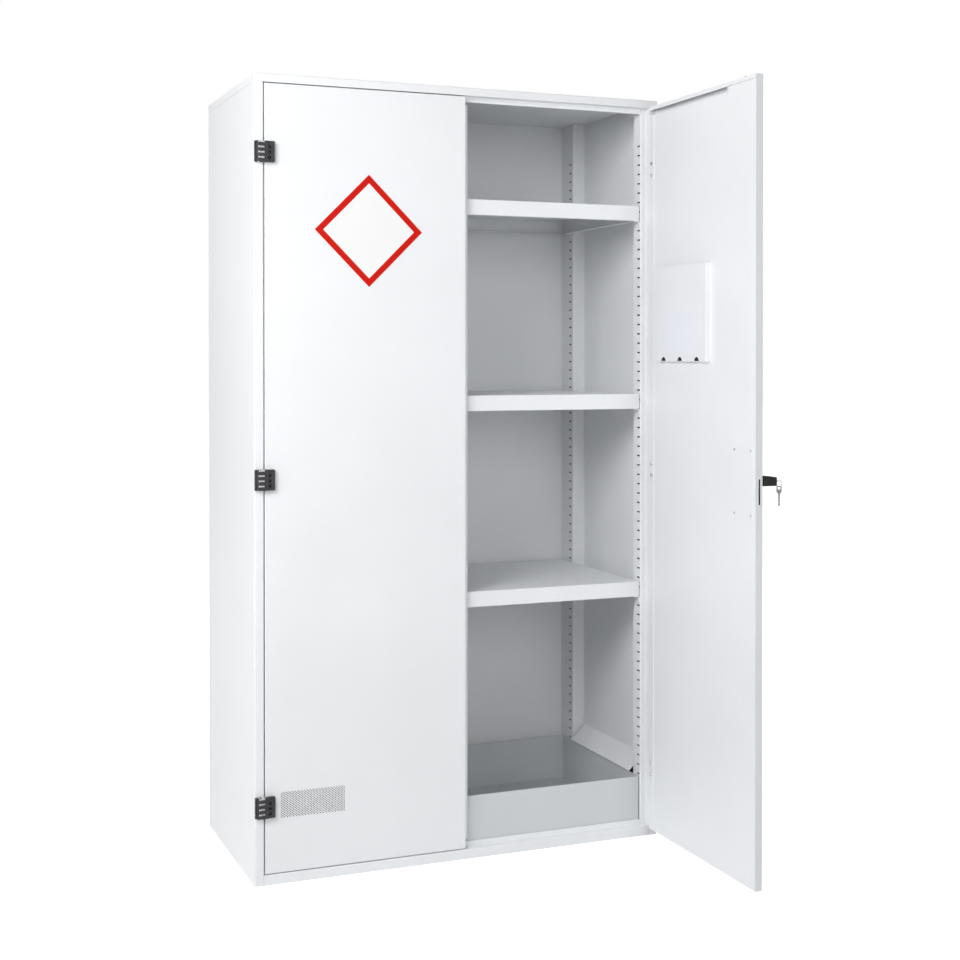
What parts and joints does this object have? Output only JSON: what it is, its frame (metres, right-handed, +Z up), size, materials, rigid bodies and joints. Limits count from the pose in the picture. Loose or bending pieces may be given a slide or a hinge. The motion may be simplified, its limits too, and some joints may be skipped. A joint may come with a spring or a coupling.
{
  "type": "two door safety storage cabinet",
  "caption": "Tall two-door steel storage cabinet with adjustable shelves, a leak tray, a vented door and a rod lock worked by a keyed lever handle; right door open at rest.",
  "frame": {"origin": "centre of the body's base, on the floor", "axes": "+X to the right as seen from the front, +Y to the back, +Z up"},
  "size_m": [1.1582, 1.0625, 1.95],
  "materials": {
    "white_powder_coat": "fine powder coat, satin",
    "grey_powder_coat": "fine powder coat, satin",
    "black_polyamide": "fine grained moulding",
    "handle_black": "satin moulding",
    "zinc_plated_steel": "bright zinc plate",
    "natural_polyamide": "moulded",
    "nickel_plate": "nickel plate",
    "sign_sheet": "printed sheet, red border",
    "pocket_white": "powder coat"
  },
  "bodies": {
    "cabinet": {"side_panel_left": "white_powder_coat", "side_panel_right": "white_powder_coat", "front_upright_left": "white_powder_coat", "front_upright_right": "white_powder_coat", "rear_upright_left": "white_powder_coat", "rear_upright_right": "white_powder_coat", "back_panel": "white_powder_coat", "top_cap": "white_powder_coat", "top_stop_rail": "white_powder_coat", "floor_pan": "white_powder_coat", "floor_stiffener": "white_powder_coat", "shelf_top": "white_powder_coat", "shelf_middle": "white_powder_coat", "shelf_lower": "white_powder_coat", "shelf_clips": "white_powder_coat", "sump_tray": "grey_powder_coat", "drip_deflector_left": "white_powder_coat", "drip_deflector_right": "white_powder_coat", "hinge_frame_leaf_left_top": "black_polyamide", "hinge_frame_leaf_left_middle": "black_polyamide", "hinge_frame_leaf_left_bottom": "black_polyamide", "hinge_frame_leaf_right_top": "black_polyamide", "hinge_frame_leaf_right_middle": "black_polyamide", "hinge_frame_leaf_right_bottom": "black_polyamide", "hinge_pins_left": "zinc_plated_steel", "hinge_pins_right": "zinc_plated_steel", "hinge_screws": "zinc_plated_steel"},
    "left_door": {"left_door_panel": "white_powder_coat", "left_door_inner_panel": "white_powder_coat", "left_door_overlap_strip": "white_powder_coat", "left_door_hinge_bolts": "zinc_plated_steel", "sign_plate": "sign_sheet", "hinge_door_leaf_left_top": "black_polyamide", "hinge_door_leaf_left_middle": "black_polyamide", "hinge_door_leaf_left_bottom": "black_polyamide"},
    "right_door": {"right_door_panel": "white_powder_coat", "right_door_inner_panel": "white_powder_coat", "right_door_hinge_bolts": "zinc_plated_steel", "lock_stile": "white_powder_coat", "lock_cover_plate": "white_powder_coat", "lock_cover_rivets": "zinc_plated_steel", "lock_case": "zinc_plated_steel", "lock_rod_guides": "natural_polyamide", "handle_escutcheon": "handle_black", "document_pocket": "pocket_white", "hinge_door_leaf_right_top": "black_polyamide", "hinge_door_leaf_right_middle": "black_polyamide", "hinge_door_leaf_right_bottom": "black_polyamide"},
    "handle": {"handle_grip": "handle_black", "handle_spindle": "zinc_plated_steel", "lock_blade": "zinc_plated_steel", "lock_pinion": "zinc_plated_steel"},
    "key": {"lock_cylinder": "nickel_plate", "key_in_lock": "nickel_plate"},
    "spare_key": {"key_ring": "nickel_plate", "spare_key": "nickel_plate"},
    "lock_rod_top": {"lock_rod_top": "zinc_plated_steel"},
    "lock_rod_bottom": {"lock_rod_bottom": "zinc_plated_steel"}
  },
  "joints": [
    {"name": "left_door_swing", "type": "hinge", "parent": "cabinet", "child": "left_door", "pos_m": [-0.5355, -0.2685, 0.976], "axis": [0, 0, -1], "range_deg": [0, 110]},
    {"name": "right_door_swing", "type": "hinge", "parent": "cabinet", "child": "right_door", "pos_m": [0.5355, -0.2685, 0.976], "axis": [0, 0, 1], "range_deg": [-90, 20]},
    {"name": "handle_turn", "type": "hinge", "parent": "right_door", "child": "handle", "pos_m": [0.527, -0.7515, 0.976], "axis": [-1, 0, 0], "range_deg": [0, 90]},
    {"name": "key_turn", "type": "hinge", "parent": "handle", "child": "key", "pos_m": [0.5865, -0.7515, 0.976], "axis": [-1, 0, 0], "range_deg": [0, 90]},
    {"name": "spare_key_swing", "type": "hinge", "parent": "key", "child": "spare_key", "pos_m": [0.6045, -0.7515, 0.976], "axis": [0, -1, 0], "range_deg": [-5, 60]},
    {"name": "lock_rod_top_slide", "type": "slide", "parent": "right_door", "child": "lock_rod_top", "axis": [0, 0, 1], "range_m": [0, 0.0158]},
    {"name": "lock_rod_bottom_slide", "type": "slide", "parent": "right_door", "child": "lock_rod_bottom", "axis": [0, 0, -1], "range_m": [0, 0.0158]}
  ],
  "couplings": [
    {"joint": "lock_rod_top_slide", "follows": "handle_turn", "m_per_rad": 0.01},
    {"joint": "lock_rod_bottom_slide", "follows": "handle_turn", "m_per_rad": 0.01}
  ]
}
